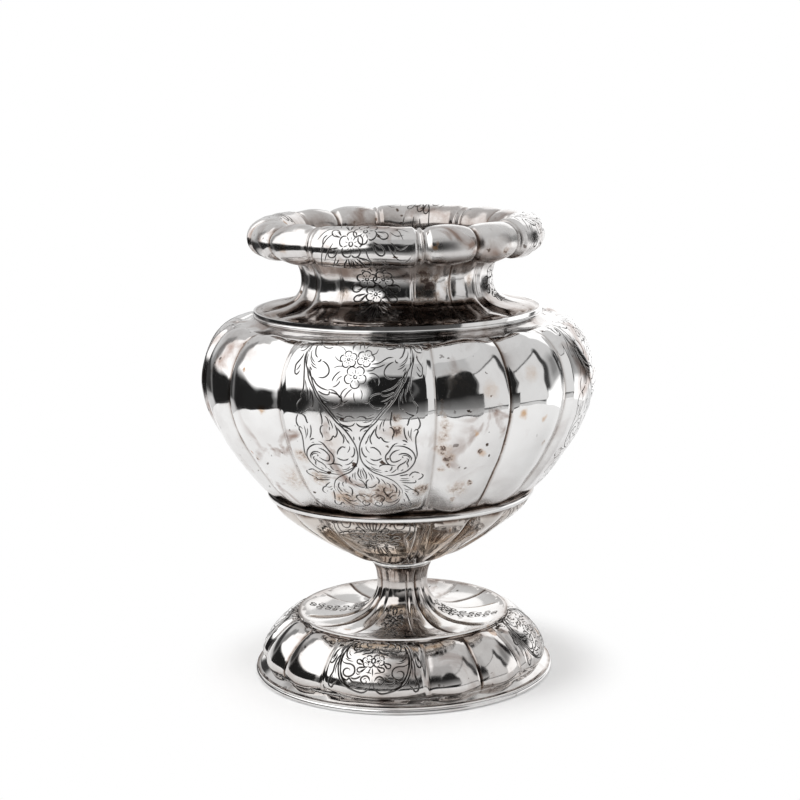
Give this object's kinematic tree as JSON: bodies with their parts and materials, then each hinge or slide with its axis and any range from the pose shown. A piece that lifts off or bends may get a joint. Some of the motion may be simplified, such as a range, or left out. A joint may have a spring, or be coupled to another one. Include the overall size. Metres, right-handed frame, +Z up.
{
  "type": "vase",
  "caption": "Baluster vase in silver sheet with a domed foot, short stem, lobed bowl under a girdle wire, waisted neck and rolled rim.",
  "frame": {"origin": "middle of the foot wire's flat underside", "axes": "+Z up along the vase's axis; a broad panel faces the front, along -Y, and others face +X, +Y and -X"},
  "size_m": [0.1806, 0.1806, 0.2128],
  "materials": {
    "silver_sheet": "polished silver sheet with grey tarnish, dark oxide in the chased lines and small brown spots",
    "silver_wire": "polished silver wire with grey tarnish and dark solder lines"
  },
  "bodies": {
    "root": {"foot_rim_wire": "silver_wire", "foot_dome": "silver_sheet", "foot_dish_and_stem": "silver_sheet", "stem_collar": "silver_wire", "lower_bowl": "silver_sheet", "girdle_wire": "silver_wire", "upper_bowl": "silver_sheet", "shoulder_wire": "silver_wire", "neck": "silver_sheet", "rolled_rim": "silver_sheet"}
  },
  "joints": []
}
